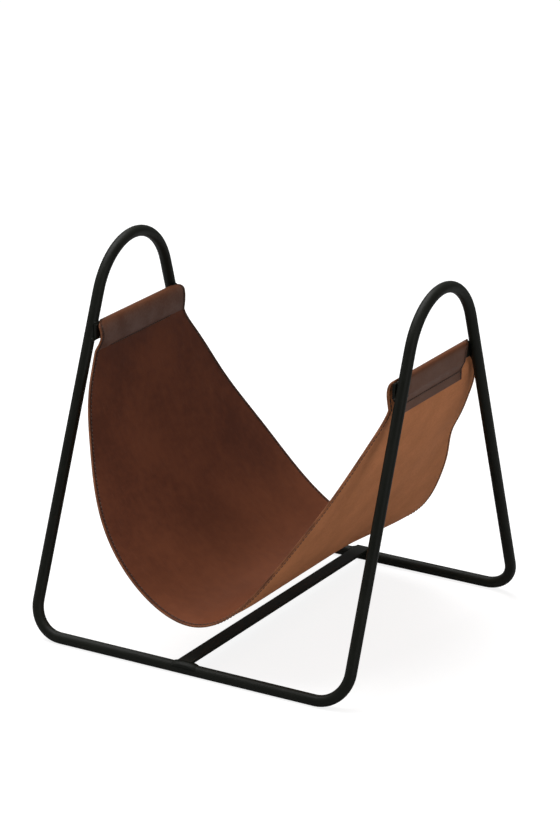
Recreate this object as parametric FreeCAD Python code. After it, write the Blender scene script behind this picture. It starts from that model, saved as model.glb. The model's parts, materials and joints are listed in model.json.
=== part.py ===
import FreeCAD, Part
import math
import os

os.makedirs("parts", exist_ok=True)

V = FreeCAD.Vector

# A free-standing magazine rack, in millimetres. X runs along the two floor rails, Y from front to rear,
# Z up. The origin is on the floor, at the middle of the base.

# round tube of the frame
tube_d = 12.0
tube_wall = 1.5
rail_span = 367.0        # along X, between the centre planes of the two ends, at rail height
rail_pitch = 374.0       # along Y, between the centre lines of the two rails
hoop_rise = 382.0        # from the rail's centre line to the top of the arch's centre line
arch_radius = 70.0       # centre line of the arch that serves as a handle
corner_radius = 33.5     # centre line of the bend from rail to leg
arch_lean = 3.0          # each arch leans in this much at its top

# sleeves inside the rails, where the two bent halves meet
sleeve_length = 44.0
sleeve_wall = 1.4
sleeve_clearance = 0.1

# flat bar stock, for the floor bar and the two sling bars
flat_width = 16.0
flat_thick = 3.0
flat_edge_radius = 0.5
floor_bar_overhang = 1.5   # past the centre line of each rail

# sling bars
sling_bar_drop = 85.0      # from the top of the arch's centre line down to the middle of the bar
sling_bar_overhang = 4.0   # past the centre line of each leg
weld_reach = 2.2           # radius of the weld beads on the sling bars
weld_length = 9.0
floor_weld_length = 40.0
floor_weld_rise = 2.6

# leather sling, one sheet
leather = 2.2
hem_clearance = 0.3      # between the leather and the bar
hem_swell = 4.0          # the hem's inner wall stands this much further off the bar at its widest
sling_floor_gap = 48.0   # lowest underside of the sheet, above the floor
seam_drop = 11.0         # row of stitches that closes the hem, below the bar
seam_allowance = 2.5     # the flap meets the sheet this far above the seam
flap_tail = 10.0         # the flap goes on below the seam, outside the sheet
side_fall = 31.0         # how far the sheet drops from the seam before it starts to swing inward
side_swing = 1.0
bottom_reach = 88.0      # half the spread of the rounded bottom's control polygon
ridge_half = 71.0        # half widths of the sheet, from the hem down to the bottom
neck_half = 84.0
seam_half = 87.5
shoulder_half = 105.5
flank_half = 136.0
belly_half = 170.0
brim_half = 180.0
base_half = 180.5
flap_leg_gap = 0.8       # between the flap's top corners and the legs
flap_bottom_half = 63.0  # half width of the flap at its lower edge
flap_waist_rise = 0.5    # the flap has come down to that width this far above the seam

# thread
thread_d = 0.7
thread_gap = 0.03
stitch_inset = 3.6       # edge stitching, in from the leather's edge

rail_z = tube_d / 2
end_x = rail_span / 2
rail_y = rail_pitch / 2
arch_z = rail_z + hoop_rise
sling_bar_height = arch_z - sling_bar_drop


def export(name, shape):
    """Write one sub-part; every solid in it must be sound."""
    shape = shape.removeSplitter() if len(shape.Solids) == 1 else shape
    assert shape.isValid() and shape.Solids, name
    shape.exportStep("parts/%s.step" % name)


def fillet_arc(before, corner, after, radius):
    """Arc of the given radius that rounds a corner, with its two tangent points."""
    to_before = (before - corner).normalize()
    to_after = (after - corner).normalize()
    half_angle = to_before.getAngle(to_after) / 2
    reach = radius / math.tan(half_angle)
    start = corner + to_before * reach
    end = corner + to_after * reach
    middle_way = (to_before + to_after).normalize()
    centre = corner + middle_way * (radius / math.sin(half_angle))
    middle = centre - middle_way * radius
    return start, end, Part.Arc(start, middle, end).toShape()


# ---- frame ----

def lean_at(z):
    """How far the end plane has moved inward at height z."""
    return arch_lean * (z - rail_z) / hoop_rise


def end_point(side, y, z):
    return V(side * (end_x - lean_at(z)), y, z)


arch_centre_z = arch_z - arch_radius
foot_reach = math.hypot(rail_y, arch_centre_z - rail_z)
foot_angle = math.atan2(rail_z - arch_centre_z, rail_y)
tangent_angle = foot_angle + math.acos(arch_radius / foot_reach)
shoulder_y = arch_radius * math.cos(tangent_angle)
shoulder_z = arch_centre_z + arch_radius * math.sin(tangent_angle)


def leg_y(z):
    """Distance of the leg's centre line from the middle plane, at height z."""
    return rail_y + (shoulder_y - rail_y) * (z - rail_z) / (shoulder_z - rail_z)


def hoop_path(side):
    """Centre line of one half: front rail, leg, arch, leg, rear rail."""
    edges = []
    ends = {}
    for way in (-1, 1):
        rail_start = V(0, way * rail_y, rail_z)
        foot = end_point(side, way * rail_y, rail_z)
        shoulder = end_point(side, way * shoulder_y, shoulder_z)
        start, end, bend = fillet_arc(rail_start, foot, shoulder, corner_radius)
        ends[way] = (Part.makeLine(rail_start, start), bend, Part.makeLine(end, shoulder), shoulder)
    arch = Part.Arc(ends[-1][3], end_point(side, 0, arch_z), ends[1][3]).toShape()
    edges = list(ends[-1][:3]) + [arch] + list(ends[1][:3])[::-1]
    return Part.Wire(Part.__sortEdges__(edges))


def sweep_round(path, radius):
    """Round bar of the given radius along a path that starts on the middle plane."""
    rail_start = V(0, -rail_y, rail_z)
    ring = Part.Wire(Part.makeCircle(radius, rail_start, V(1, 0, 0)))
    return path.makePipeShell([ring], True, False)


def hoop(side):
    path = hoop_path(side)
    return sweep_round(path, tube_d / 2), sweep_round(path, tube_d / 2 - tube_wall)


def flipped(shape):
    """The same shape on the other end of the rack."""
    return shape.mirror(V(0, 0, 0), V(1, 0, 0))


right_outer, right_bore = hoop(1)
outer = {1: right_outer, -1: flipped(right_outer)}
right_hoop = right_outer.cut(right_bore)
export("hoop_right", right_hoop)
export("hoop_left", flipped(right_hoop))


def sleeve(way):
    radius = tube_d / 2 - tube_wall - sleeve_clearance
    start = V(-sleeve_length / 2, way * rail_y, rail_z)
    body = Part.makeCylinder(radius, sleeve_length, start, V(1, 0, 0))
    return body.cut(Part.makeCylinder(radius - sleeve_wall, sleeve_length, start, V(1, 0, 0)))


for way, name in ((-1, "front"), (1, "rear")):
    export("joint_sleeve_" + name, sleeve(way))


# ---- flat bars ----

def flat_bar(length, width, thick):
    """Flat bar along Y, centred, with softened long edges."""
    bar = Part.makeBox(width, length, thick, V(-width / 2, -length / 2, -thick / 2))
    long_edges = [e for e in bar.Edges if abs(e.tangentAt(e.FirstParameter).y) > 0.99]
    return bar.makeFillet(flat_edge_radius, long_edges)


floor_bar = flat_bar(rail_pitch + 2 * floor_bar_overhang, flat_width, flat_thick)
floor_bar.translate(V(0, 0, tube_d + flat_thick / 2))
export("floor_bar", floor_bar)

bar_clear = tube_d / 2 + flat_thick / 2


def sling_bar_x(side):
    """The bar touches the inner side of its two legs."""
    return side * (end_x - lean_at(sling_bar_height + flat_width / 2) - bar_clear)


sling_bar_reach = leg_y(sling_bar_height) + sling_bar_overhang
sling_bars = {}
for side, name in ((-1, "left"), (1, "right")):
    bar = flat_bar(2 * sling_bar_reach, flat_thick, flat_width)
    bar.translate(V(sling_bar_x(side), 0, sling_bar_height))
    sling_bars[side] = bar
    export("sling_bar_" + name, bar)


# ---- welds ----

def spheroid(centre, length, radius, axis):
    """Egg-shaped solid, long along the given axis, for a weld bead that fades out at its ends."""
    half = length / 2
    rim = Part.Ellipse(V(half, 0, 0), V(0, radius, 0), V(0, 0, 0))
    arc = rim.toShape(0, math.pi)
    face = Part.Face(Part.Wire([arc, Part.makeLine(arc.valueAt(arc.LastParameter), arc.valueAt(0))]))
    body = face.revolve(V(0, 0, 0), V(1, 0, 0), 360)
    body = Part.Solid(body) if body.ShapeType == "Shell" else body
    body.Placement = FreeCAD.Placement(centre, FreeCAD.Rotation(V(1, 0, 0), axis))
    return body


def capsule(centre, length, radius):
    """Round-ended bead along Y."""
    reach = V(0, length / 2 - radius, 0)
    body = Part.makeCylinder(radius, 2 * reach.y, centre - reach, V(0, 1, 0))
    return body.multiFuse([Part.makeSphere(radius, centre - reach), Part.makeSphere(radius, centre + reach)])


def floor_weld(way):
    """Bead over the rail, at both sides of the floor bar's end."""
    bead = spheroid(V(0, way * rail_y, rail_z), floor_weld_length, tube_d / 2 + floor_weld_rise, V(1, 0, 0))
    start = V(-floor_weld_length / 2, way * rail_y, rail_z)
    rail = Part.makeCylinder(tube_d / 2, floor_weld_length, start, V(1, 0, 0))
    upper = Part.makeBox(floor_weld_length, tube_d, tube_d, start + V(0, -tube_d / 2, tube_d / 4))
    return bead.common(upper).cut(rail).cut(floor_bar)


for way, name in ((-1, "front"), (1, "rear")):
    export("floor_weld_" + name, floor_weld(way))


def bar_weld(way):
    """Two beads on the right end, above and below the bar, where it touches the leg."""
    beads = []
    for edge in (-1, 1):
        z = sling_bar_height + edge * flat_width / 2
        x = end_x - lean_at(z) - tube_d / 2 + weld_reach / 2
        bead = capsule(V(x, way * leg_y(z), z), weld_length, weld_reach)
        beads.append(bead.cut(outer[1]).cut(sling_bars[1]))
    return Part.Compound([solid for bead in beads for solid in bead.Solids])


for way, name in ((-1, "front"), (1, "rear")):
    beads = bar_weld(way)
    export("bar_weld_right_" + name, beads)
    export("bar_weld_left_" + name, flipped(beads))


# ---- leather sling ----

bar_x = sling_bar_x(1)
bar_top = sling_bar_height + flat_width / 2
bar_bottom = sling_bar_height - flat_width / 2
inner_x = bar_x - flat_thick / 2 - hem_clearance - leather / 2   # middle of the sheet, inside the bar
outer_x = bar_x + flat_thick / 2 + hem_clearance + leather / 2   # middle of the flap, outside the bar
ridge_z = bar_top + hem_clearance + leather / 2
sheet_bottom = sling_floor_gap + leather / 2
seam_height = bar_bottom - seam_drop
flap_bottom = seam_height - flap_tail


def side_poles():
    """Control points of the sheet's side, from the seam down to the middle of the bottom."""
    return [V(inner_x, 0, seam_height), V(inner_x - side_swing, 0, seam_height - side_fall),
            V(bottom_reach, 0, sheet_bottom), V(0, 0, sheet_bottom)]


def sheet_points(offset, count=15):
    """Points of the sheet's section, moved by offset toward the outside, right half, seam to bottom."""
    curve = Part.BezierCurve()
    curve.setPoles(side_poles())
    points = []
    for i in range(count + 1):
        t = i / count
        along = curve.tangent(t)[0]
        points.append(curve.value(t) + V(-along.z, 0, along.x).normalize() * offset)
    return points


def mirrored(points):
    """The right half's points, then the same points on the left."""
    return points + [V(-p.x, p.y, p.z) for p in points[-2::-1]]


def spline(points):
    curve = Part.BSplineCurve()
    curve.interpolate(points)
    return curve.toShape()


def layer(low, high):
    """Section of the hanging sheet between two offsets, as a solid long enough for any outline."""
    below = spline(mirrored(sheet_points(high)))
    above = spline(mirrored(sheet_points(low)))
    ends = [Part.makeLine(below.valueAt(p), above.valueAt(q))
            for p, q in ((below.FirstParameter, above.FirstParameter),
                         (below.LastParameter, above.LastParameter))]
    face = Part.Face(Part.Wire(Part.__sortEdges__([below, above] + ends)))
    return prism(face, V(0, 1, 0))


def prism(face, axis):
    """Extrude a face both ways along an axis, further than the rack reaches."""
    reach = rail_span + rail_pitch
    face.translate(axis * -reach)
    return face.extrude(axis * (2 * reach))


def strip_wall(points):
    """Straight run of leather through the given middle points, in the plane of the section."""
    solids = []
    for a, b in zip(points, points[1:]):
        along = (b - a).normalize()
        across = V(-along.z, 0, along.x) * (leather / 2)
        face = Part.Face(Part.makePolygon([a + across, b + across, b - across, a - across, a + across]))
        solids.append(prism(face, V(0, 1, 0)))
    for p in points[1:-1]:
        disc = Part.Face(Part.Wire(Part.makeCircle(leather / 2, p, V(0, 1, 0))))
        solids.append(prism(disc, V(0, 1, 0)))
    return solids[0].multiFuse(solids[1:])


def stations(inset):
    """Half width of the sheet at each height, from the ridge to the bottom, less an inset."""
    drop = seam_height - sheet_bottom
    rows = [(ridge_half, ridge_z + leather), (neck_half, sling_bar_height),
            (seam_half, seam_height), (shoulder_half, seam_height - 0.12 * drop),
            (flank_half, seam_height - 0.36 * drop), (belly_half, seam_height - 0.635 * drop),
            (brim_half, seam_height - 0.833 * drop), (base_half, sheet_bottom - leather)]
    return [(half - inset, z) for half, z in rows]


def outline(inset):
    """Slab with the sheet's front view as its shape: the hem's neck, the wide belly, the base."""
    rows = stations(inset)
    sides = [spline([V(0, way * half, z) for half, z in rows]) for way in (-1, 1)]
    caps = [Part.makeLine(V(0, -half, z), V(0, half, z)) for half, z in (rows[0], rows[-1])]
    return prism(Part.Face(Part.Wire(Part.__sortEdges__(sides + caps))), V(1, 0, 0))


def flap_outline():
    """Slab with the flap's view from the end: it passes between the legs and narrows downward."""
    waist = flap_bottom_half
    top_z = ridge_z + leather
    top_half = leg_y(top_z) - tube_d / 2 / math.cos(tangent_angle) - flap_leg_gap
    corners = [(top_half, top_z), (waist, seam_height + flap_waist_rise), (waist, flap_bottom)]
    loop = [V(0, -y, z) for y, z in corners] + [V(0, y, z) for y, z in corners[::-1]]
    return prism(Part.Face(Part.makePolygon(loop + loop[:1])), V(1, 0, 0))


def hem_line():
    """Middle of the hem's inner wall: it swells away from the bar above the seam, then folds over its top."""
    widest = V(inner_x - hem_swell, 0, sling_bar_height - hem_swell)
    start = V(inner_x, 0, seam_height)
    end = V(bar_x, 0, ridge_z)
    rise = V(0, 0, flat_width / 3)
    lower = Part.BezierCurve()
    lower.setPoles([start, start + rise, widest - rise, widest])
    upper = Part.BezierCurve()
    upper.setPoles([widest, widest + rise * 1.7, V(inner_x - hem_swell / 2, 0, ridge_z), end])
    return [lower.value(t / 4) for t in range(4)] + [upper.value(t / 6) for t in range(7)]


def hem(side):
    """Inner wall and fold of the hem, and the flap that comes down outside and meets the sheet."""
    touch_x = inner_x + leather
    inside = hem_line()
    touch_z = seam_height + seam_allowance
    flap = [V(outer_x, 0, ridge_z), V(outer_x, 0, bar_bottom), V(touch_x, 0, touch_z),
            V(touch_x, 0, flap_bottom)]
    inner_wall = strip_wall(inside).common(outline(0))
    outer_wall = strip_wall([V(bar_x - leather, 0, ridge_z)] + flap).common(flap_outline())
    both = inner_wall.fuse(outer_wall)
    return both if side > 0 else flipped(both)


sheet = layer(-leather / 2, leather / 2).common(outline(0))
sling = sheet.multiFuse([hem(-1), hem(1)])
for side in (-1, 1):
    for solid in [sling_bars[side], outer[side]]:
        gap = sling.distToShape(solid)[0]
        assert gap > 0.05, "leather meets the frame: %.3f" % gap
export("sling", sling)


# ---- thread ----

def hem_seam(side):
    """Thread along the hem's seam, one line on the flap and one on the inner face."""
    touch_x = inner_x + leather
    lines = []
    for x, half in ((touch_x + leather / 2 + thread_d / 2 + thread_gap, flap_bottom_half),
                    (inner_x - leather / 2 - thread_d / 2 - thread_gap, flap_bottom_half)):
        start = V(side * x, -(half - stitch_inset), seam_height)
        lines.append(Part.makeCylinder(thread_d / 2, 2 * (half - stitch_inset), start, V(0, 1, 0)))
    return Part.Compound(lines)


for side, name in ((-1, "left"), (1, "right")):
    export("hem_seam_" + name, hem_seam(side))

front_half = Part.makeBox(2 * rail_span, rail_pitch, 2 * arch_z, V(-rail_span, -rail_pitch, -arch_z / 2))
edge_band = outline(stitch_inset).cut(outline(stitch_inset + thread_d)).common(front_half)
front_thread = layer(-leather / 2 - thread_gap - thread_d, -leather / 2 - thread_gap).common(edge_band)
export("edge_stitch_front", front_thread)
export("edge_stitch_rear", front_thread.mirror(V(0, 0, 0), V(0, 1, 0)))
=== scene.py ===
import json
import math

import bmesh
import bpy
import numpy as np
from mathutils import Matrix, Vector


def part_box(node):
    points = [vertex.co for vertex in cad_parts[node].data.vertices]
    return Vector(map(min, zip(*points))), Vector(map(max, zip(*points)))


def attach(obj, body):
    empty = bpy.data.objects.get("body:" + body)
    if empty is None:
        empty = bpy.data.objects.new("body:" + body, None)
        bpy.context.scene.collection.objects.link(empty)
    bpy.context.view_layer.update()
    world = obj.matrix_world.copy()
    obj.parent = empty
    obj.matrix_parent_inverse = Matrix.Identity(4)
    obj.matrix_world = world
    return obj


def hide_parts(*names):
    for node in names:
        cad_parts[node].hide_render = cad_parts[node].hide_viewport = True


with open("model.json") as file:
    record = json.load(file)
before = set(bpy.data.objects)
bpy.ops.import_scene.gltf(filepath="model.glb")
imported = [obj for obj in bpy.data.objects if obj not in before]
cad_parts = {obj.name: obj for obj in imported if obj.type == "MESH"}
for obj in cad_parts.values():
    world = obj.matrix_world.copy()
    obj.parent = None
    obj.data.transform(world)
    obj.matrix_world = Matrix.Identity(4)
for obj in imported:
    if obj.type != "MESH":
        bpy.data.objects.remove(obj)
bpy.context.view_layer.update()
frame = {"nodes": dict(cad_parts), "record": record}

# A leather-sling magazine rack. Lengths are in metres. X runs along the floor rails, Y from front to rear,
# Z up, with the origin on the floor under the middle of the base.

bar_low, bar_high = (np.array(corner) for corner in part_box("sling_bar_right"))
sling_low, sling_high = (np.array(corner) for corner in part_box("sling"))

# leather and its hem
LEATHER = 0.0022
HALF = LEATHER / 2
HEM_GAP = 0.0003
FOLD_RADIUS = 0.0021
HEM_SWELL = 0.0048
SEAM_DROP = 0.0110
SEAM_MEET = 0.0018
FLAP_TAIL = 0.0100
STITCH_INSET = 0.0036
STITCH_PITCH = 0.0043
STITCH_LENGTH = 0.0031
THREAD = 0.00052
MESH_GAP = 0.00004
FLAP_HALF = 0.0635
FLAP_GROWTH = 0.0070
FLAP_WAIST = 0.019
CORNER_REACH = 0.0085

# how far the hide strays from its plain hanging line
LEAN = 0.0052
WAVE = 0.0006
FRONT_LIFT = 0.0022
FLARE = 0.0098
DENT = 0.0050
SPLAY = 0.0020
MOUTH = 0.0008
MOUTH_LEFT = 0.0010
SPREAD = 0.0115

BAR_X = (bar_low[0] + bar_high[0]) / 2
BAR_HALF = (bar_high[0] - bar_low[0]) / 2
INNER_X = BAR_X - BAR_HALF - HEM_GAP - HALF
OUTER_X = BAR_X + BAR_HALF + HEM_GAP + HALF
RIDGE_Z = bar_high[2] + HEM_GAP + HALF
SEAM_Z = bar_low[2] - SEAM_DROP
BOTTOM_Z = sling_low[2] + HALF
BELLY = sling_high[1]


# ---- the line the leather hangs on ----

def rounded(corners, radii):
    """A polyline whose inner corners are replaced by tangent arcs: each arc's centre lies on the corner's
    bisector, at radius / sin(half angle), and its points turn evenly from one tangent to the other."""
    runs = [corners[:1]]
    for before, corner, after, radius in zip(corners, corners[1:], corners[2:], radii):
        back = (before - corner) / np.linalg.norm(before - corner)
        on = (after - corner) / np.linalg.norm(after - corner)
        half = math.acos(float(np.clip(back @ on, -1, 1))) / 2
        middle = (back + on) / np.linalg.norm(back + on)
        centre = corner + middle * radius / math.sin(half)
        start = corner + back * radius / math.tan(half) - centre
        end = corner + on * radius / math.tan(half) - centre
        share = np.linspace(0, 1, 25)[:, None]
        sweep = math.pi - 2 * half
        turn = (np.sin((1 - share) * sweep) * start + np.sin(share * sweep) * end) / math.sin(sweep)
        runs.append(centre + turn)
    runs.append(corners[-1:])
    return np.concatenate(runs)


def bezier(poles, count):
    """Cubic with these four poles, at even steps of its parameter, without its first point."""
    t = np.linspace(0, 1, count + 1)[1:, None]
    return ((1 - t) ** 3 * poles[0] + 3 * t * (1 - t) ** 2 * poles[1]
            + 3 * t ** 2 * (1 - t) * poles[2] + t ** 3 * poles[3])


def right_half_line():
    """Middle of the leather in the XZ plane, from the flap's lower edge over the bar to the bottom. The flap
    is straight runs with rounded corners. The hem's inner wall is a cubic that swells off the bar, and the
    hanging side is a cubic with its ends upright at the seam and level at the bottom."""
    touch_x = INNER_X + LEATHER + MESH_GAP
    flap = rounded(np.array([
        (touch_x, SEAM_Z - FLAP_TAIL),
        (touch_x, SEAM_Z + SEAM_MEET),
        (OUTER_X, bar_low[2] - 0.0012),
        (OUTER_X, RIDGE_Z),
        (BAR_X, RIDGE_Z),
    ]), (0.006, 0.004, FOLD_RADIUS))
    seam = np.array([INNER_X, SEAM_Z])
    wall = bezier([flap[-1], (INNER_X - 0.0042, RIDGE_Z), seam + (-HEM_SWELL, 0.0125), seam], 200)
    side = bezier([seam, seam - (0.001, 0.031), (0.088, BOTTOM_Z), (0.0, BOTTOM_Z)], 600)
    return np.concatenate([flap, wall, side]), len(flap) - 1, len(flap) + 199


def running_length(points):
    """Distance along a polyline at each of its points."""
    steps = np.linalg.norm(np.diff(points, axis=0), axis=1)
    return np.concatenate([[0.0], np.cumsum(steps)])


half_line, ridge_index, seam_index = right_half_line()
half_run = running_length(half_line)
SEAM_RUN = half_run[seam_index]
MIDDLE_RUN = half_run[-1]
RIDGE_RUN = half_run[ridge_index]
whole_line = np.concatenate([half_line, half_line[-2::-1] * (-1, 1)])
whole_run = running_length(whole_line)
TOTAL_RUN = whole_run[-1]


def soft_step(x, low, high):
    """Smooth rise from 0 at low to 1 at high: 3t^2 - 2t^3 of the clipped share."""
    t = np.clip((x - low) / (high - low), 0, 1)
    return t * t * (3 - 2 * t)


def smooth_through(knots, values, at):
    """Natural cubic spline: the second derivatives solve the usual three-term system, and each span is the
    cubic with those derivatives at its ends."""
    gap = np.diff(knots)
    slope = np.diff(values) / gap
    count = len(knots)
    system = np.eye(count)
    inner = np.arange(1, count - 1)
    system[inner, inner - 1] = gap[:-1]
    system[inner, inner] = 2 * (gap[:-1] + gap[1:])
    system[inner, inner + 1] = gap[1:]
    right = np.zeros(count)
    right[1:-1] = 6 * np.diff(slope)
    bend = np.linalg.solve(system, right)
    i = np.clip(np.searchsorted(knots, at) - 1, 0, count - 2)
    a = (knots[i + 1] - at) / gap[i]
    b = 1 - a
    cubic = ((a ** 3 - a) * bend[i] + (b ** 3 - b) * bend[i + 1]) * gap[i] ** 2 / 6
    return a * values[i] + b * values[i + 1] + cubic


def nearer_end(run):
    """Distance along the hide to its nearer end."""
    return np.minimum(run, TOTAL_RUN - run)


def on_right(run):
    """1 on the right half of the hide and 0 on the left, with a soft change across the bottom."""
    return soft_step(TOTAL_RUN / 2 - run, -0.06, 0.05)


def half_width(run):
    """Half width of the cut at a distance along the hide. The flap widens upward, the hem's corners are
    rounded over the bar, and below the neck the sides swell to the belly."""
    s = nearer_end(run)
    height = np.interp(s, half_run, half_line[:, 1])
    down = np.clip((SEAM_Z - height) / (SEAM_Z - BOTTOM_Z), -0.12, 1.0)
    knots = np.array([-0.12, -0.08, 0.0, 0.12, 0.36, 0.635, 0.833, 1.01])
    halves = np.array([0.0838, 0.0840, 0.0875, 0.1055, 0.136, 0.170, BELLY - 0.0005, BELLY])
    sheet = smooth_through(knots, halves, down)
    flap = FLAP_HALF + FLAP_GROWTH * np.clip((s - FLAP_WAIST) / (RIDGE_RUN - FLAP_WAIST), 0, 1)
    share = np.sqrt(1 - (1 - np.clip((s - RIDGE_RUN - 0.0002) / CORNER_REACH, 0, 1)) ** 2)
    return flap + (sheet - flap) * share


def hide_at(run, y, lift):
    """Point of the hide: the hanging line at this distance, moved by lift along the line's normal toward
    the smooth side, with the hide's own lean and waves added."""
    x = np.interp(run, whole_run, whole_line[:, 0])
    z = np.interp(run, whole_run, whole_line[:, 1])
    reach = 0.0004
    ahead = [np.interp(run + reach, whole_run, whole_line[:, axis]) for axis in (0, 1)]
    behind = [np.interp(run - reach, whole_run, whole_line[:, axis]) for axis in (0, 1)]
    ax = ahead[0] - behind[0]
    az = ahead[1] - behind[1]
    size = np.hypot(ax, az)
    nx = az / size
    nz = -ax / size
    out = lift + sway(run, y)
    return np.stack([x + nx * out - lean(run), y + spread(run, y), z + nz * out], axis=-1)


def below_seam(run):
    """Share of the way from the hem's seam, 0, to the middle of the bottom, 1."""
    s = nearer_end(run)
    return np.clip((s - SEAM_RUN) / (MIDDLE_RUN - SEAM_RUN), 0, 1)


def lean(run):
    """The hide hangs a few millimetres toward the left between hem and bottom."""
    return LEAN * np.sin(math.pi * below_seam(run) ** 0.8) ** 1.3


def sway(run, y):
    """How far the hide lies off its hanging line, toward the smooth side: a slow wave that grows toward the
    rims, a lift of the front rim at the bottom, a flare of the lower rear corner on the right with a small
    dent above it, a slight splay of the rear rim on the left, and an opening at the front of each hem."""
    down = below_seam(run)
    side = y / 0.18
    loose = soft_step(down, 0.02, 0.25)
    from_middle = (run - TOTAL_RUN / 2) / 0.1
    right = on_right(run)
    wave = WAVE * np.sin(2.1 * from_middle + 9.0 * y) * side ** 2
    front_rim = FRONT_LIFT * soft_step(-side, 0.70, 1.02) * np.exp(-(from_middle / 1.1) ** 2)
    flare = -FLARE * soft_step(side, 0.25, 1.0) * np.exp(-((down - 0.74) / 0.17) ** 2) * right
    dent = DENT * soft_step(side, 0.30, 0.80) * np.exp(-((down - 0.36) / 0.10) ** 2) * right
    splay = -SPLAY * soft_step(side, 0.45, 1.0) * np.exp(-((down - 0.62) / 0.25) ** 2) * (1 - right)
    hem_share = np.clip((nearer_end(run) - RIDGE_RUN) / (SEAM_RUN - RIDGE_RUN), 0, 1)
    opening = MOUTH + MOUTH_LEFT * (1 - right)
    mouth = opening * soft_step(-side, 0.26, 0.47) * np.sin(math.pi * hem_share) ** 2
    return loose * (wave + front_rim + flare + dent + splay) + mouth


def spread(run, y):
    """The hide's stretch toward the rear just under the right hem, where its corner curls round the leg."""
    right = on_right(run)
    started = soft_step(nearer_end(run), RIDGE_RUN + 0.004, SEAM_RUN - 0.004)
    near_seam = np.exp(-((below_seam(run) - 0.04) / 0.105) ** 2)
    return SPREAD * soft_step(y, 0.030, 0.095) * near_seam * right * started


def rows_along():
    """Distances of the mesh's rows: close together in the fold and the flap's end, wider down the side."""
    end = np.array([0.0, 0.00015, 0.0004, 0.0008])
    flap = np.linspace(0.0016, RIDGE_RUN - 0.009, 27, endpoint=False)
    fold = np.linspace(RIDGE_RUN - 0.009, RIDGE_RUN + 0.009, 40, endpoint=False)
    wall = np.linspace(RIDGE_RUN + 0.009, SEAM_RUN + 0.006, 30, endpoint=False)
    side = np.linspace(SEAM_RUN + 0.006, MIDDLE_RUN, 78)
    half = np.concatenate([end, flap, fold, wall, side])
    return np.concatenate([half, TOTAL_RUN - half[-2::-1]])


def mesh_object(name, points, faces):
    """New object from points and faces, already in place."""
    mesh = bpy.data.meshes.new(name)
    mesh.from_pydata(points.reshape(-1, 3), [], faces.tolist())
    mesh.update()
    piece = bpy.data.objects.new(name, mesh)
    bpy.context.scene.collection.objects.link(piece)
    return piece


def face_outward(piece):
    """Turns every face of a closed mesh to the outside."""
    work = bmesh.new()
    work.from_mesh(piece.data)
    bmesh.ops.recalc_face_normals(work, faces=work.faces)
    work.to_mesh(piece.data)
    work.free()


def shade_smooth(piece):
    """Shades every face as part of a rounded surface."""
    piece.data.polygons.foreach_set("use_smooth", np.ones(len(piece.data.polygons), bool))


def add_measure(piece, name, values):
    """A number at each point of the mesh, for its material to read."""
    layer = piece.data.attributes.new(name, "FLOAT", "POINT")
    layer.data.foreach_set("value", np.ascontiguousarray(values, dtype=np.float32).ravel())


def stitch_line(way):
    """Close steps along the hide, and the length of one side's stitch line up to each of them."""
    fine = np.linspace(0, TOTAL_RUN, 4000)
    return fine, running_length(hide_at(fine, way * (half_width(fine) - STITCH_INSET), 0 * fine))


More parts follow.
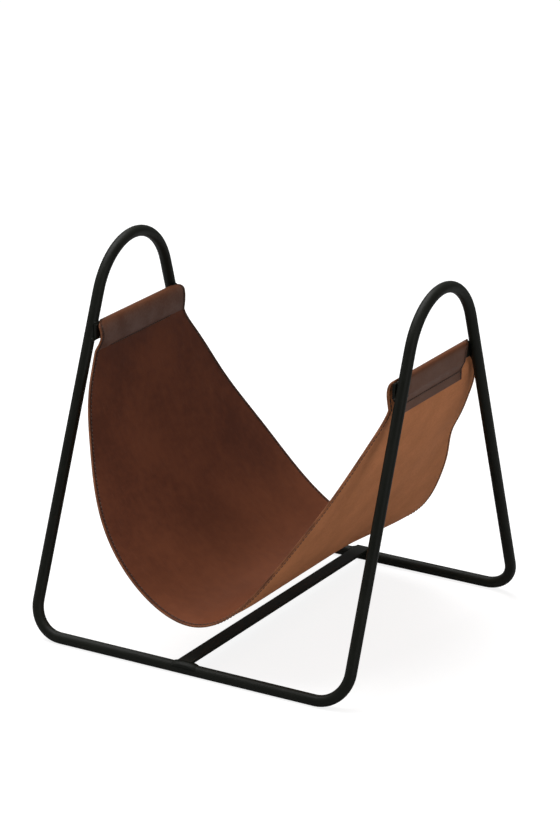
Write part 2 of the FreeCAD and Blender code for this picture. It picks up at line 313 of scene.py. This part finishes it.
def leather_sling(finishes):
    """One closed sheet. Each row is a ring around the hide's section: the smooth face, a rounded cut edge,
    the flesh face and the other cut edge. A row's place comes from hide_at, and its width from half_width.
    The faces dip along the stitching, where the thread pulls them in."""
    rows = rows_along()
    zone = 0.020
    near = np.array([0.35, 0.9, 1.6, 2.4, 2.9, 3.25, 3.6, 3.95, 4.3, 4.9, 6.0, 8.0, 11.0, 15.0, 20.0]) / 1000
    middle = np.linspace(-1, 1, 57)[1:-1]
    inset = np.concatenate([near, np.full(55, zone), near[::-1]])
    place = np.concatenate([-np.ones(15), middle, np.ones(15)])
    face_count = len(inset)
    rim_inset = np.array([0.10, 0.0, 0.0, 0.10]) / 1000
    rim_level = np.array([0.86, 0.42, -0.42, -0.86])
    ring_inset = np.concatenate([inset, rim_inset, inset[::-1], rim_inset])
    ring_place = np.concatenate([place, np.ones(4), place[::-1], -np.ones(4)])
    ring_level = np.concatenate([np.ones(face_count), rim_level, -np.ones(face_count), -rim_level])
    run = rows[:, None] + 0 * ring_inset
    half = half_width(rows)[:, None]
    y = ring_place * (half - ring_inset)
    from_edge = half - np.abs(y)
    from_end = nearer_end(run)
    thin_end = 0.55 + 0.45 * np.sqrt(1 - (1 - np.clip(from_end / 0.0008, 0, 1)) ** 2)
    from_seam = np.minimum(np.abs(from_end - SEAM_RUN), np.abs(from_end - FLAP_TAIL))
    seam_reach = soft_step(0.0640 - np.abs(y), 0.0, 0.003)
    edge_pull = np.exp(-((from_edge - STITCH_INSET) / 0.0006) ** 2)
    seam_pull = np.exp(-(from_seam / 0.0008) ** 2) * seam_reach
    dip = 0.00034 * np.maximum(edge_pull, seam_pull)
    lift = ring_level * (HALF * thin_end - dip)
    points = hide_at(run, y, lift)

    ring = len(ring_inset)
    i, k = np.meshgrid(np.arange(len(rows) - 1), np.arange(ring), indexing="ij")
    after = (k + 1) % ring
    walls = np.stack([i * ring + k, i * ring + after, (i + 1) * ring + after, (i + 1) * ring + k], axis=-1)
    j = np.arange(face_count - 1)
    last = 2 * face_count + 3
    cap = np.stack([j, j + 1, last - j - 1, last - j], axis=-1)
    right = face_count - 1
    corners = np.array([
        (right, right + 1, right + 4, right + 5),
        (right + 1, right + 2, right + 3, right + 4),
        (0, last, last + 1, last + 4),
        (last + 4, last + 1, last + 2, last + 3),
    ])
    cap = np.concatenate([cap, corners])
    far_cap = cap + (len(rows) - 1) * ring
    faces = np.concatenate([walls.reshape(-1, 4), cap, far_cap])
    wall_finish = np.where(k < face_count - 1, 0, 2)
    wall_finish = np.where((k >= face_count + 4) & (k < last), 1, wall_finish)
    finish = np.concatenate([wall_finish.ravel(), np.full(2 * len(cap), 2)])

    piece = mesh_object("leather_sling", points, faces)
    for material in finishes:
        piece.data.materials.append(material)
    piece.data.polygons.foreach_set("material_index", finish.astype(np.int32))
    shade_smooth(piece)
    cut = piece.data.uv_layers.new(name="cut")
    corner_points = np.empty(len(piece.data.loops), np.int32)
    piece.data.loops.foreach_get("vertex_index", corner_points)
    flat = np.stack([y.ravel(), run.ravel()], axis=-1)[corner_points]
    cut.data.foreach_set("uv", flat.astype(np.float32).ravel())
    front, rear = (np.interp(rows, *stitch_line(way))[:, None] for way in (-1, 1))
    add_measure(piece, "from_edge", from_edge)
    add_measure(piece, "from_fold", from_end - RIDGE_RUN)
    add_measure(piece, "from_seam", from_seam + 0.02 * (1 - seam_reach))
    add_measure(piece, "edge_beat", np.where(y < 0, front, rear) / STITCH_PITCH)
    add_measure(piece, "seam_beat", y / STITCH_PITCH + 0.5)
    face_outward(piece)
    width = 2 * float(half_width(rows).max())
    widths = 2 * half_width(rows)
    area = float(np.sum((widths[1:] + widths[:-1]) / 2 * np.diff(rows)))
    return piece, (width, TOTAL_RUN), area


def thread_marks(name, centres, forward, normal, material):
    """Stitches: each is a small bent capsule. Its middle line is a low arch, so that both ends dip into
    the leather, and its radius follows a half circle at the ends."""
    along = np.array([-0.5, -0.46, -0.36, -0.15, 0.15, 0.36, 0.46, 0.5])
    arch = 0.00034 - 0.00300 * np.abs(along) ** 3
    girth = THREAD * np.sqrt(np.clip(1 - (np.abs(along) / 0.5) ** 6, 0, 1)) + 0.00002
    turn = np.arange(6) * math.tau / 6
    sideways = np.cross(normal, forward)
    spine = (centres[:, None] + forward[:, None] * (along[:, None] * STITCH_LENGTH)
             + normal[:, None] * arch[:, None])
    around = (np.cos(turn)[:, None] * sideways[:, None, None]
              + np.sin(turn)[:, None] * normal[:, None, None])
    points = spine[:, :, None] + around * girth[:, None, None]
    count, rings, sides = len(centres), len(along), len(turn)
    c, r, q = np.meshgrid(np.arange(count), np.arange(rings - 1), np.arange(sides), indexing="ij")
    base = c * rings * sides
    a = base + r * sides + q
    b = base + r * sides + (q + 1) % sides
    walls = np.stack([a, b, b + sides, a + sides], axis=-1).reshape(-1, 4)
    start = np.arange(count)[:, None, None] * rings * sides
    disc = np.array([[0, 1, 2, 3], [0, 3, 4, 5]])
    caps = np.concatenate([start + disc[:, ::-1], start + disc + (rings - 1) * sides], axis=1)
    piece = mesh_object(name, points, np.concatenate([walls, caps.reshape(-1, 4)]))
    piece.data.materials.append(material)
    shade_smooth(piece)
    face_outward(piece)
    return piece


def stitches_on(run, y, face):
    """Frames for stitches at places on the hide: the line's direction, the face's normal, and the centre on
    that face, from small steps along and across the hide."""
    step = 0.0002
    lift = face * (HALF - 0.00022)
    here = hide_at(run, y, lift + 0 * run)
    run_on = np.gradient(run)
    y_on = np.gradient(y)
    ahead = hide_at(run + step * run_on / np.hypot(run_on, y_on), y + step * y_on / np.hypot(run_on, y_on),
                    lift + 0 * run)
    forward = ahead - here
    forward = forward / np.linalg.norm(forward, axis=1, keepdims=True)
    across = hide_at(run, y + step, lift + 0 * run) - here
    down = hide_at(run + step, y, lift + 0 * run) - here
    normal = np.cross(down, across)
    normal = normal / np.linalg.norm(normal, axis=1, keepdims=True)
    flip = np.sign(np.sum(normal * (hide_at(run, y, lift + 0.001 + 0 * run) - here), axis=1, keepdims=True))
    normal = normal * flip * face
    return here, forward, normal


def edge_stitching(way):
    """Row of stitches along one side of the hide, at even steps of its own length. The flesh side's row
    stops under the bars, where the hem is closed round the steel."""
    fine, length = stitch_line(way)
    beats = np.arange(1.5, length[-1] / STITCH_PITCH - 1.0) * STITCH_PITCH
    run = np.interp(beats, length, fine)
    over = nearer_end(run) - RIDGE_RUN
    near_fold = (over > -0.004) & (over < 0.006)
    run = run[~near_fold]
    below_bar = np.interp(run, whole_run, whole_line[:, 1]) < bar_low[2] - 0.002
    past_flap = nearer_end(run) > RIDGE_RUN
    sets = []
    for face, places in ((1, run), (-1, run[below_bar & past_flap])):
        sets.append(stitches_on(places, way * (half_width(places) - STITCH_INSET), face))
    centres, forward, normal = (np.concatenate(part) for part in zip(*sets))
    return centres, forward, normal


def hem_stitching(side):
    """Row of stitches through sheet and flap: one line on the inner face and one on the flap."""
    y = np.arange(-13, 14) * STITCH_PITCH
    lines = []
    for run in (SEAM_RUN, FLAP_TAIL):
        place = run if side > 0 else TOTAL_RUN - run
        lines.append(stitches_on(np.full(len(y), place), y, 1))
    return tuple(np.concatenate(part) for part in zip(*lines))


# ---- finishes ----

def node(tree, kind, inputs=None, **settings):
    """New shader node with its settings, each input linked or given a value."""
    made = tree.nodes.new(kind)
    for name, value in settings.items():
        setattr(made, name, value)
    for name, value in (inputs or {}).items():
        if isinstance(value, bpy.types.NodeSocket):
            tree.links.new(value, made.inputs[name])
        else:
            made.inputs[name].default_value = value
    return made


def group_socket(tree, name, way, kind, value=None):
    """Named input or output of a node group."""
    made = tree.interface.new_socket(name, in_out=way, socket_type=kind)
    if value is not None:
        made.default_value = value


def math_node(tree, operation, a, b=0.0):
    """One step of arithmetic on two numbers or sockets."""
    return node(tree, "ShaderNodeMath", {0: a, 1: b}, operation=operation).outputs[0]


def blend_colour(tree, share, low, high):
    """Colour that runs from low at share 0 to high at share 1."""
    return node(tree, "ShaderNodeMix", {0: share, 6: low, 7: high}, data_type="RGBA").outputs[2]


def ramp(tree, value, low, high):
    """Share of the way from low to high, clipped."""
    made = node(tree, "ShaderNodeMapRange", {"Value": value, "From Min": low, "From Max": high},
                interpolation_type="SMOOTHSTEP")
    return made.outputs["Result"]


def fall(tree, value, low, high):
    """1 up to low and 0 from high on, with a smooth drop between."""
    return math_node(tree, "SUBTRACT", 1.0, ramp(tree, value, low, high))


def mottle_group():
    """Slow cloudy colour change of a hide or a coat: two noises of different size, added and stretched."""
    tree = bpy.data.node_groups.new("cloudy_colour", "ShaderNodeTree")
    group_socket(tree, "Place", "INPUT", "NodeSocketVector")
    group_socket(tree, "Cloud Size", "INPUT", "NodeSocketFloat", 20.0)
    group_socket(tree, "Dark", "INPUT", "NodeSocketColor")
    group_socket(tree, "Light", "INPUT", "NodeSocketColor")
    group_socket(tree, "Colour", "OUTPUT", "NodeSocketColor")
    group_socket(tree, "Cloud", "OUTPUT", "NodeSocketFloat")
    start = tree.nodes.new("NodeGroupInput")
    end = tree.nodes.new("NodeGroupOutput")
    wide = node(tree, "ShaderNodeTexNoise", {
        "Vector": start.outputs["Place"], "Scale": start.outputs["Cloud Size"], "Detail": 3.0})
    fine_size = math_node(tree, "MULTIPLY", start.outputs["Cloud Size"], 9.0)
    fine = node(tree, "ShaderNodeTexNoise", {
        "Vector": start.outputs["Place"], "Scale": fine_size, "Detail": 4.0, "Roughness": 0.65})
    both = math_node(tree, "ADD", math_node(tree, "MULTIPLY", wide.outputs[0], 0.62),
                     math_node(tree, "MULTIPLY", fine.outputs[0], 0.38))
    cloud = ramp(tree, both, 0.34, 0.66)
    colour = blend_colour(tree, cloud, start.outputs["Dark"], start.outputs["Light"])
    tree.links.new(colour, end.inputs["Colour"])
    tree.links.new(cloud, end.inputs["Cloud"])
    return tree


def grain_group():
    """Height of a pebbled surface: rounded cells, softened by a finer noise."""
    tree = bpy.data.node_groups.new("pebble_grain", "ShaderNodeTree")
    group_socket(tree, "Place", "INPUT", "NodeSocketVector")
    group_socket(tree, "Cell Size", "INPUT", "NodeSocketFloat", 900.0)
    group_socket(tree, "Cell Share", "INPUT", "NodeSocketFloat", 0.5)
    group_socket(tree, "Height", "OUTPUT", "NodeSocketFloat")
    start = tree.nodes.new("NodeGroupInput")
    end = tree.nodes.new("NodeGroupOutput")
    cells = node(tree, "ShaderNodeTexVoronoi", {
        "Vector": start.outputs["Place"], "Scale": start.outputs["Cell Size"], "Smoothness": 0.6},
        feature="SMOOTH_F1")
    fuzz_size = math_node(tree, "MULTIPLY", start.outputs["Cell Size"], 0.8)
    fuzz = node(tree, "ShaderNodeTexNoise", {
        "Vector": start.outputs["Place"], "Scale": fuzz_size, "Detail": 3.0})
    dome = math_node(tree, "MULTIPLY", math_node(tree, "SUBTRACT", 1.0, cells.outputs["Distance"]),
                     start.outputs["Cell Share"])
    rest = math_node(tree, "SUBTRACT", 1.0, start.outputs["Cell Share"])
    height = math_node(tree, "ADD", dome, math_node(tree, "MULTIPLY", fuzz.outputs[0], rest))
    tree.links.new(height, end.inputs["Height"])
    return tree


def holes_group():
    """Awl holes between stitches: a dark dot of painted shade in the hole where the beat passes a whole
    number, on the stitch line, and a fainter painted shade in the crease along the line itself."""
    tree = bpy.data.node_groups.new("awl_holes", "ShaderNodeTree")
    group_socket(tree, "Beat", "INPUT", "NodeSocketFloat")
    group_socket(tree, "Off Line", "INPUT", "NodeSocketFloat")
    group_socket(tree, "Hole", "OUTPUT", "NodeSocketFloat")
    start = tree.nodes.new("NodeGroupInput")
    end = tree.nodes.new("NodeGroupOutput")
    from_half = math_node(tree, "ABSOLUTE", math_node(tree, "SUBTRACT",
                          math_node(tree, "FRACT", start.outputs["Beat"]), 0.5))
    along = math_node(tree, "MULTIPLY", math_node(tree, "SUBTRACT", 0.5, from_half), STITCH_PITCH)
    off = start.outputs["Off Line"]
    distance = math_node(tree, "SQRT", math_node(tree, "ADD", math_node(tree, "MULTIPLY", along, along),
                         math_node(tree, "MULTIPLY", off, off)))
    # painted shade: dark in each hole and, fainter, along the crease of the stitch line
    hole = fall(tree, distance, 0.00045, 0.00095)
    crease_shade = fall(tree, math_node(tree, "ABSOLUTE", off), 0.0003, 0.0013)
    hole = math_node(tree, "MAXIMUM", hole, math_node(tree, "MULTIPLY", crease_shade, 0.30))
    tree.links.new(hole, end.inputs["Hole"])
    return tree


cloudy = mottle_group()
pebble = grain_group()
awl = holes_group()


def new_finish(name):
    """Empty material with one principled shader."""
    material = bpy.data.materials.new(name)
    material.use_nodes = True
    tree = material.node_tree
    tree.nodes.clear()
    shader = tree.nodes.new("ShaderNodeBsdfPrincipled")
    end = tree.nodes.new("ShaderNodeOutputMaterial")
    tree.links.new(shader.outputs[0], end.inputs[0])
    return material, tree, shader


def grouped(tree, group, inputs):
    """Use of a node group, with its inputs."""
    return node(tree, "ShaderNodeGroup", inputs, node_tree=group)


def measure(tree, name):
    """Number stored at the points of the mesh."""
    return node(tree, "ShaderNodeAttribute", attribute_name=name).outputs["Fac"]


def bumped(tree, shader, height, distance, strength):
    """Feeds a height to the shader's normal."""
    made = node(tree, "ShaderNodeBump", {"Height": height, "Distance": distance, "Strength": strength})
    tree.links.new(made.outputs[0], shader.inputs["Normal"])


def rough_with(tree, shader, least, share, more):
    """Roughness that grows from its least value by a share of a pattern."""
    rough = math_node(tree, "ADD", least, math_node(tree, "MULTIPLY", share, more))
    tree.links.new(rough, shader.inputs["Roughness"])


def stitch_holes(tree):
    """Holes along the edge rows and the hem seam, as one mask: it places painted shade in the holes and
    along the stitch line's crease.
    """
    edge_off = math_node(tree, "SUBTRACT", measure(tree, "from_edge"), STITCH_INSET)
    edge = grouped(tree, awl, {"Beat": measure(tree, "edge_beat"), "Off Line": edge_off})
    seam = grouped(tree, awl, {"Beat": measure(tree, "seam_beat"), "Off Line": measure(tree, "from_seam")})
    return math_node(tree, "MAXIMUM", edge.outputs[0], seam.outputs[0])


def smooth_leather():
    """Waxed smooth side: dark red-brown, with a redder painted highlight along the lit top of the fold over
    the bar, a greyer, cloudy painted sheen on the doubled hem and the flap, and warmer painted light toward
    the middle of the bottom, where the hide faces up. It has a fine pebbled grain, faint scratches, a darker
    line at the cut edge and painted shade in the awl holes and along the stitch lines."""
    material, tree, shader = new_finish("leather_smooth_side")
    place = node(tree, "ShaderNodeUVMap", uv_map="cut").outputs[0]
    clouds = grouped(tree, cloudy, {
        "Place": place, "Cloud Size": 12.0,
        "Dark": (0.082, 0.0235, 0.0115, 1), "Light": (0.130, 0.0395, 0.0185, 1)})
    from_fold = measure(tree, "from_fold")
    # bend marks the top of the fold, where a redder painted highlight stands for the light falling on its
    # upward-facing face
    bend = fall(tree, math_node(tree, "ABSOLUTE", from_fold), 0.0010, 0.0095)
    hem = fall(tree, from_fold, SEAM_RUN - RIDGE_RUN - 0.0006, SEAM_RUN - RIDGE_RUN + 0.0006)
    flap = fall(tree, from_fold, -0.0040, -0.0010)
    # painted sheen: a greyer, cloudy tone on the doubled hem, mixed half toward a lighter painted reflection
    # on the flap's outer face
    sheen = grouped(tree, cloudy, {
        "Place": place, "Cloud Size": 42.0,
        "Dark": (0.098, 0.0460, 0.0300, 1), "Light": (0.148, 0.0840, 0.0620, 1)})
    painted_hem_sheen = blend_colour(tree, math_node(tree, "MULTIPLY", flap, 0.5), sheen.outputs["Colour"],
                        (0.140, 0.0720, 0.0480, 1))
    # painted light: the hide turns warmer toward the middle of the bottom, where it faces up to the overhead
    # light
    bottom_light = ramp(tree, from_fold, SEAM_RUN - RIDGE_RUN + 0.150, MIDDLE_RUN - RIDGE_RUN)
    hide = blend_colour(tree, math_node(tree, "MULTIPLY", bottom_light, 0.30), clouds.outputs["Colour"],
                        (0.205, 0.0640, 0.0225, 1))
    colour = blend_colour(tree, math_node(tree, "MULTIPLY", hem, 0.85), hide, painted_hem_sheen)
    # painted highlight: redder tone along the lit top of the fold
    colour = blend_colour(tree, math_node(tree, "MULTIPLY", bend, 0.75), colour, (0.115, 0.0360, 0.0125, 1))
    edge = fall(tree, measure(tree, "from_edge"), 0.0010, 0.0048)
    colour = blend_colour(tree, math_node(tree, "MULTIPLY", edge, 0.60), colour, (0.040, 0.0150, 0.0085, 1))
    # painted shade: near-black in the awl holes and, fainter, along the crease of each stitch line
    holes = stitch_holes(tree)
    colour = blend_colour(tree, holes, colour, (0.010, 0.006, 0.004, 1))
    stretched = node(tree, "ShaderNodeMapping", {"Vector": place, "Scale": (900.0, 60.0, 1.0)})
    scratch = node(tree, "ShaderNodeTexNoise", {"Vector": stretched.outputs[0], "Scale": 1.0, "Detail": 2.0})
    scratch_mask = ramp(tree, scratch.outputs[0], 0.60, 0.72)
    colour = blend_colour(tree, math_node(tree, "MULTIPLY", scratch_mask, 0.16), colour,
                          (0.200, 0.0900, 0.0560, 1))
    tree.links.new(colour, shader.inputs["Base Color"])
    gloss = math_node(tree, "ADD", 0.50, math_node(tree, "MULTIPLY", clouds.outputs["Cloud"], 0.12))
    tree.links.new(math_node(tree, "SUBTRACT", gloss, math_node(tree, "MULTIPLY", hem, 0.08)),
                   shader.inputs["Roughness"])
    grain = grouped(tree, pebble, {"Place": place, "Cell Size": 1100.0, "Cell Share": 0.6})
    height = math_node(tree, "SUBTRACT", grain.outputs[0], math_node(tree, "MULTIPLY", holes, 2.0))
    bumped(tree, shader, height, 0.00012, 0.55)
    shader.inputs["Specular IOR Level"].default_value = 0.09
    return material


def flesh_leather():
    """Unfinished flesh side: tan, matt and fibrous, with short strands and soft patches."""
    material, tree, shader = new_finish("leather_flesh_side")
    place = node(tree, "ShaderNodeUVMap", uv_map="cut").outputs[0]
    clouds = grouped(tree, cloudy, {
        "Place": place, "Cloud Size": 26.0,
        "Dark": (0.455, 0.178, 0.076, 1), "Light": (0.560, 0.220, 0.096, 1)})
    fibres = node(tree, "ShaderNodeMapping", {"Vector": place, "Scale": (1400.0, 500.0, 1.0)})
    strands = node(tree, "ShaderNodeTexNoise", {"Vector": fibres.outputs[0], "Scale": 1.0, "Detail": 3.0,
                                                "Distortion": 0.8})
    strand_share = math_node(tree, "MULTIPLY", ramp(tree, strands.outputs[0], 0.35, 0.75), 0.35)
    colour = blend_colour(tree, strand_share, clouds.outputs["Colour"], (0.350, 0.133, 0.056, 1))
    # painted shade in the awl holes and along the stitch lines' crease, on the flesh side too
    holes = stitch_holes(tree)
    colour = blend_colour(tree, holes, colour, (0.020, 0.010, 0.006, 1))
    tree.links.new(colour, shader.inputs["Base Color"])
    rough_with(tree, shader, 0.84, clouds.outputs["Cloud"], 0.10)
    nap = grouped(tree, pebble, {"Place": place, "Cell Size": 700.0, "Cell Share": 0.3})
    height = math_node(tree, "ADD", nap.outputs[0], math_node(tree, "MULTIPLY", strands.outputs[0], 0.8))
    bumped(tree, shader, height, 0.00022, 0.7)
    shader.inputs["Specular IOR Level"].default_value = 0.08
    return material


def cut_leather():
    """Cut edge: orange-brown, with thin layers of fibre along it."""
    material, tree, shader = new_finish("leather_cut_edge")
    place = node(tree, "ShaderNodeTexCoord").outputs["Object"]
    clouds = grouped(tree, cloudy, {
        "Place": place, "Cloud Size": 60.0,
        "Dark": (0.120, 0.042, 0.019, 1), "Light": (0.270, 0.098, 0.040, 1)})
    tree.links.new(clouds.outputs["Colour"], shader.inputs["Base Color"])
    rough_with(tree, shader, 0.62, clouds.outputs["Cloud"], 0.16)
    layers = grouped(tree, pebble, {"Place": place, "Cell Size": 1600.0, "Cell Share": 0.4})
    bumped(tree, shader, layers.outputs[0], 0.00015, 0.6)
    shader.inputs["Specular IOR Level"].default_value = 0.25
    return material


def waxed_thread():
    """Dark brown waxed thread with a fine twist."""
    material, tree, shader = new_finish("waxed_thread")
    place = node(tree, "ShaderNodeTexCoord").outputs["Object"]
    clouds = grouped(tree, cloudy, {
        "Place": place, "Cloud Size": 300.0,
        "Dark": (0.026, 0.014, 0.009, 1), "Light": (0.070, 0.038, 0.026, 1)})
    tree.links.new(clouds.outputs["Colour"], shader.inputs["Base Color"])
    rough_with(tree, shader, 0.55, clouds.outputs["Cloud"], 0.15)
    twist = grouped(tree, pebble, {"Place": place, "Cell Size": 3500.0, "Cell Share": 0.7})
    bumped(tree, shader, twist.outputs[0], 0.00008, 0.6)
    return material


def powder_coat():
    """Satin black powder coat: a fine orange-peel surface, with a very slight change of tone."""
    material, tree, shader = new_finish("powder_coat")
    place = node(tree, "ShaderNodeTexCoord").outputs["Object"]
    clouds = grouped(tree, cloudy, {
        "Place": place, "Cloud Size": 30.0,
        "Dark": (0.0070, 0.0078, 0.0056, 1), "Light": (0.0105, 0.0115, 0.0086, 1)})
    tree.links.new(clouds.outputs["Colour"], shader.inputs["Base Color"])
    rough_with(tree, shader, 0.44, clouds.outputs["Cloud"], 0.10)
    peel = grouped(tree, pebble, {"Place": place, "Cell Size": 950.0, "Cell Share": 0.75})
    bumped(tree, shader, peel.outputs[0], 0.00016, 0.6)
    shader.inputs["Specular IOR Level"].default_value = 0.12
    return material


def drawn_steel():
    """Plain drawn steel of the joint sleeves, with lines along the tube."""
    material, tree, shader = new_finish("drawn_steel")
    place = node(tree, "ShaderNodeTexCoord").outputs["Object"]
    clouds = grouped(tree, cloudy, {
        "Place": place, "Cloud Size": 50.0,
        "Dark": (0.36, 0.36, 0.37, 1), "Light": (0.50, 0.50, 0.51, 1)})
    drawn = node(tree, "ShaderNodeMapping", {"Vector": place, "Scale": (20.0, 1500.0, 1500.0)})
    lines = node(tree, "ShaderNodeTexNoise", {"Vector": drawn.outputs[0], "Scale": 1.0, "Detail": 2.0})
    tree.links.new(clouds.outputs["Colour"], shader.inputs["Base Color"])
    rough_with(tree, shader, 0.28, lines.outputs[0], 0.2)
    bumped(tree, shader, lines.outputs[0], 0.00005, 0.5)
    shader.inputs["Metallic"].default_value = 1.0
    return material


def studio_floor():
    """Pale floor. It looks white from above, and it throws little light back up at the rack."""
    material, tree, shader = new_finish("pale_floor")
    shader.inputs["Base Color"].default_value = (0.45, 0.45, 0.45, 1)
    shader.inputs["Roughness"].default_value = 0.9
    shader.inputs["Specular IOR Level"].default_value = 0.0
    shown = node(tree, "ShaderNodeBsdfPrincipled", {
        "Base Color": (0.30, 0.30, 0.30, 1), "Roughness": 0.9, "Specular IOR Level": 0.0,
        "Emission Color": (1, 1, 1, 1), "Emission Strength": 0.84})
    seen_straight = node(tree, "ShaderNodeLightPath").outputs["Is Camera Ray"]
    chosen = node(tree, "ShaderNodeMixShader", {0: seen_straight, 1: shader.outputs[0], 2: shown.outputs[0]})
    end = next(n for n in tree.nodes if n.type == "OUTPUT_MATERIAL")
    tree.links.new(chosen.outputs[0], end.inputs[0])
    return material


# ---- the frame ----

coat = powder_coat()
steel = drawn_steel()
slot_of = {part["node"]: part["material_slot"] for part in frame["record"]["subparts"]}
for name, piece in frame["nodes"].items():
    finish = {"powder_coat": coat, "bare_steel": steel}.get(slot_of[name])
    if finish:
        piece.data.materials.clear()
        piece.data.materials.append(finish)

# ---- the sling and its thread ----

thread = waxed_thread()
sling, flat_size, cut_area = leather_sling([smooth_leather(), flesh_leather(), cut_leather()])
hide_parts("sling")
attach(sling, "root")

for name, way in (("front", -1), ("rear", 1)):
    row = thread_marks("thread_edge_" + name, *edge_stitching(way), thread)
    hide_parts("edge_stitch_" + name)
    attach(row, "root")

for name, side in (("left", -1), ("right", 1)):
    row = thread_marks("thread_hem_" + name, *hem_stitching(side), thread)
    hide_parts("hem_seam_" + name)
    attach(row, "root")


# ---- studio ----

def flat_square(name, size):
    """Level square at the height of the floor."""
    reach = size / 2
    corners = reach * np.array([(-1.0, -1, 0), (1, -1, 0), (1, 1, 0), (-1, 1, 0)])
    return mesh_object(name, corners, np.array([[0, 1, 2, 3]]))


floor = flat_square("floor", 40.0)
floor.data.materials.append(studio_floor())


def soft_light(name, place, aim, size, power):
    """Square soft box at a place, turned to face a point."""
    lamp = bpy.data.lights.new(name, "AREA")
    lamp.shape = "SQUARE"
    lamp.size = size
    lamp.energy = power
    holder = bpy.data.objects.new(name, lamp)
    bpy.context.scene.collection.objects.link(holder)
    back = np.array(place, float) - np.array(aim, float)
    back = back / np.linalg.norm(back)
    right = np.cross((0.0, 1.0, 0.0) if abs(back[2]) > 0.95 else (0.0, 0.0, 1.0), back)
    right = right / np.linalg.norm(right)
    up = np.cross(back, right)
    turned = np.eye(4)
    turned[:3, 0] = right
    turned[:3, 1] = up
    turned[:3, 2] = back
    turned[:3, 3] = place
    holder.matrix_world = Matrix(turned.tolist())


middle = (0.0, 0.0, 0.2)
soft_light("overhead_box", (-0.9, 0.2, 2.6), middle, 2.6, 104.0)
soft_light("right_box", (2.4, -0.9, 1.2), middle, 1.6, 18.0)
soft_light("left_box", (-2.2, -1.6, 1.6), middle, 1.6, 6.0)

world = bpy.data.worlds.new("studio_air")
bpy.context.scene.world = world
world.use_nodes = True
air = world.node_tree
air.nodes.clear()
dim = node(air, "ShaderNodeBackground", {"Color": (1, 1, 1, 1), "Strength": 0.22})
seen = node(air, "ShaderNodeBackground", {"Color": (1, 1, 1, 1), "Strength": 1.0})
chosen = node(air, "ShaderNodeMixShader", {0: node(air, "ShaderNodeLightPath").outputs["Is Camera Ray"],
                                           1: dim.outputs[0], 2: seen.outputs[0]})
node(air, "ShaderNodeOutputWorld", {0: chosen.outputs[0]})
bpy.context.scene.view_settings.view_transform = "Standard"

# The camera stands in front and to the right, above the arches, and is turned a degree about its axis.
azimuth = math.radians(29.439)
elevation = math.radians(19.343)
tilt = math.radians(1.065)
distance = 3.8365
looks_at = np.array([0.0154, -0.0296, 0.2276])
back = np.array([math.sin(azimuth) * math.cos(elevation), -math.cos(azimuth) * math.cos(elevation),
                 math.sin(elevation)])
level = np.array([math.cos(azimuth), math.sin(azimuth), 0.0])
upright = np.cross(back, level)
pose = np.eye(4)
pose[:3, 0] = level * math.cos(tilt) + upright * math.sin(tilt)
pose[:3, 1] = upright * math.cos(tilt) - level * math.sin(tilt)
pose[:3, 2] = back
pose[:3, 3] = looks_at + distance * back
lens = bpy.data.cameras.new("camera")
lens.lens = 161.19
lens.sensor_width = 36.0
lens.clip_end = 100.0
camera = bpy.data.objects.new("camera", lens)
bpy.context.scene.collection.objects.link(camera)
camera.matrix_world = Matrix(pose.tolist())
bpy.context.scene.camera = camera
